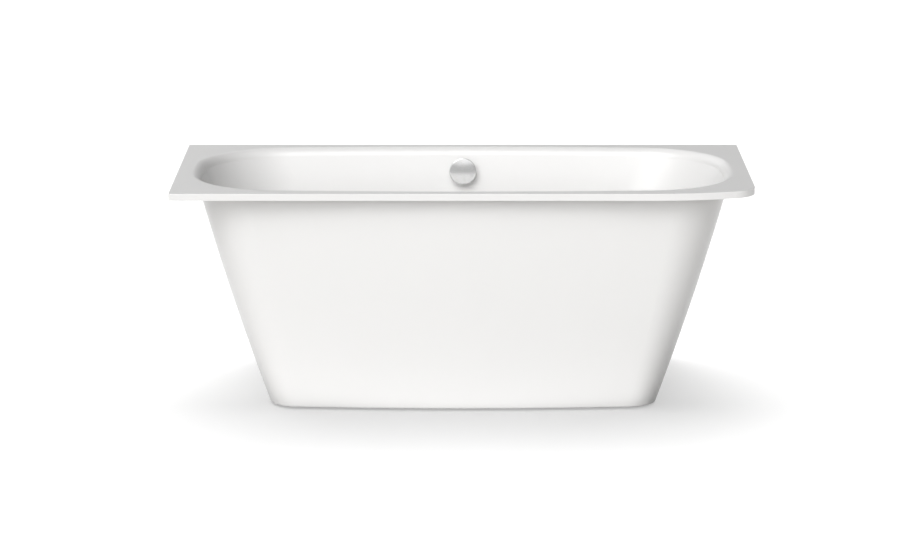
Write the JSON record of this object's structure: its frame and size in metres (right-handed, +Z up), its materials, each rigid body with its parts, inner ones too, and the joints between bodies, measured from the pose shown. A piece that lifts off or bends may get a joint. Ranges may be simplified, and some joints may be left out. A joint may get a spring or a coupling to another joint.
{
  "type": "built-in bathtub",
  "caption": "White built-in corner bathtub with a tapered skirt, an oval sloping basin, and a turning overflow knob whose cable lifts the drain plug",
  "frame": {"origin": "centre of the bounding box on the floor plane", "axes": "+X to the right along the bath's length seen from the front, +Y to the back wall, +Z up"},
  "size_m": [1.5, 0.7, 0.59],
  "materials": {
    "enamel": "gloss white vitreous enamel on steel",
    "chrome_plate": "polished chrome on brass",
    "zinc_steel": "zinc-plated steel",
    "brass_turned": "turned, unpolished",
    "black_plastic": "moulded, slightly rough",
    "white_plastic": "moulded white polypropylene",
    "rubber_black": "matt",
    "damping_felt": "bitumen sheet with a felt-like face"
  },
  "bodies": {
    "tub": {"bath_shell": "enamel", "bracket_fasteners": "zinc_steel", "cable_sheath": "black_plastic", "earth_bolt": "zinc_steel", "earth_tab": "zinc_steel", "flange_seal": "rubber_black", "floor_sound_pads": "damping_felt", "foot_rail_left": "zinc_steel", "foot_rail_right": "zinc_steel", "hose_nut_low": "white_plastic", "hose_nut_top": "white_plastic", "outlet_nut": "white_plastic", "outlet_pipe": "white_plastic", "outlet_seal": "rubber_black", "overflow_flange": "chrome_plate", "overflow_gasket": "rubber_black", "overflow_hose": "white_plastic", "overflow_housing": "white_plastic", "overflow_screws": "chrome_plate", "rail_saddles": "black_plastic", "skirt_foot_brackets": "zinc_steel", "skirt_hangers": "zinc_steel", "skirt_panel": "enamel", "trap_bend": "white_plastic", "trap_nut": "white_plastic", "trap_seal": "rubber_black", "wall_anchors": "zinc_steel", "waste_body": "white_plastic", "waste_flange": "chrome_plate", "waste_gasket": "rubber_black"},
    "knob": {"overflow_knob": "chrome_plate", "knob_grub_screw": "zinc_steel", "knob_spindle": "brass_turned", "cable_sheave": "white_plastic"},
    "plug": {"plug_cap": "chrome_plate", "plug_seal": "rubber_black", "plug_stem": "brass_turned", "stem_nut": "zinc_steel"},
    "lift": {"lift_axle": "brass_turned", "lift_lever": "white_plastic", "lift_crank": "zinc_steel", "crank_screw": "zinc_steel"},
    "core_upper": {"cable_core_upper": "zinc_steel"},
    "core_lower": {"cable_core_lower": "zinc_steel"},
    "foot_front_left": {"foot_stud_front_left": "zinc_steel", "foot_pad_front_left": "black_plastic"},
    "nuts_front_left": {"foot_nuts_front_left": "zinc_steel"},
    "foot_front_right": {"foot_stud_front_right": "zinc_steel", "foot_pad_front_right": "black_plastic"},
    "nuts_front_right": {"foot_nuts_front_right": "zinc_steel"},
    "foot_back_left": {"foot_stud_back_left": "zinc_steel", "foot_pad_back_left": "black_plastic"},
    "nuts_back_left": {"foot_nuts_back_left": "zinc_steel"},
    "foot_back_right": {"foot_stud_back_right": "zinc_steel", "foot_pad_back_right": "black_plastic"},
    "nuts_back_right": {"foot_nuts_back_right": "zinc_steel"}
  },
  "joints": [
    {"name": "knob_turn", "type": "hinge", "parent": "tub", "child": "knob", "pos_m": [0, 0.29045, 0.5265], "axis": [0, -0.9877, 0.1564], "range_deg": [0, 90]},
    {"name": "core_upper_pull", "type": "slide", "parent": "tub", "child": "core_upper", "axis": [-1, 0, 0], "range_m": [0, 0.0148]},
    {"name": "core_lower_pull", "type": "slide", "parent": "tub", "child": "core_lower", "axis": [0, 1, 0], "range_m": [0, 0.0148]},
    {"name": "lift_swing", "type": "hinge", "parent": "tub", "child": "lift", "pos_m": [0, -0.02348, 0.13969], "axis": [1, 0, 0], "range_deg": [0, 24.1]},
    {"name": "plug_rise", "type": "slide", "parent": "tub", "child": "plug", "axis": [0, 0, 1], "range_m": [0, 0.01]},
    {"name": "foot_front_left_level", "type": "slide", "parent": "tub", "child": "foot_front_left", "axis": [0, 0, 1], "range_m": [-0.01, 0.02]},
    {"name": "nuts_front_left_turn", "type": "hinge", "parent": "tub", "child": "nuts_front_left", "pos_m": [-0.28, -0.205, 0.101], "axis": [0, 0, 1], "range_deg": [-2059, 4116]},
    {"name": "foot_front_right_level", "type": "slide", "parent": "tub", "child": "foot_front_right", "axis": [0, 0, 1], "range_m": [-0.01, 0.02]},
    {"name": "nuts_front_right_turn", "type": "hinge", "parent": "tub", "child": "nuts_front_right", "pos_m": [0.28, -0.205, 0.101], "axis": [0, 0, 1], "range_deg": [-2059, 4116]},
    {"name": "foot_back_left_level", "type": "slide", "parent": "tub", "child": "foot_back_left", "axis": [0, 0, 1], "range_m": [-0.01, 0.02]},
    {"name": "nuts_back_left_turn", "type": "hinge", "parent": "tub", "child": "nuts_back_left", "pos_m": [-0.28, 0.205, 0.101], "axis": [0, 0, 1], "range_deg": [-2059, 4116]},
    {"name": "foot_back_right_level", "type": "slide", "parent": "tub", "child": "foot_back_right", "axis": [0, 0, 1], "range_m": [-0.01, 0.02]},
    {"name": "nuts_back_right_turn", "type": "hinge", "parent": "tub", "child": "nuts_back_right", "pos_m": [0.28, 0.205, 0.101], "axis": [0, 0, 1], "range_deg": [-2059, 4116]}
  ],
  "couplings": [
    {"joint": "core_upper_pull", "follows": "knob_turn", "m_per_rad": 0.00935},
    {"joint": "core_lower_pull", "follows": "knob_turn", "m_per_rad": 0.00935},
    {"joint": "lift_swing", "follows": "knob_turn", "ratio": 0.26667},
    {"joint": "plug_rise", "follows": "knob_turn", "m_per_rad": 0.0063533},
    {"joint": "nuts_front_left_turn", "follows": "foot_front_left_level", "rad_per_m": 3590.4},
    {"joint": "nuts_front_right_turn", "follows": "foot_front_right_level", "rad_per_m": 3590.4},
    {"joint": "nuts_back_left_turn", "follows": "foot_back_left_level", "rad_per_m": 3590.4},
    {"joint": "nuts_back_right_turn", "follows": "foot_back_right_level", "rad_per_m": 3590.4}
  ]
}
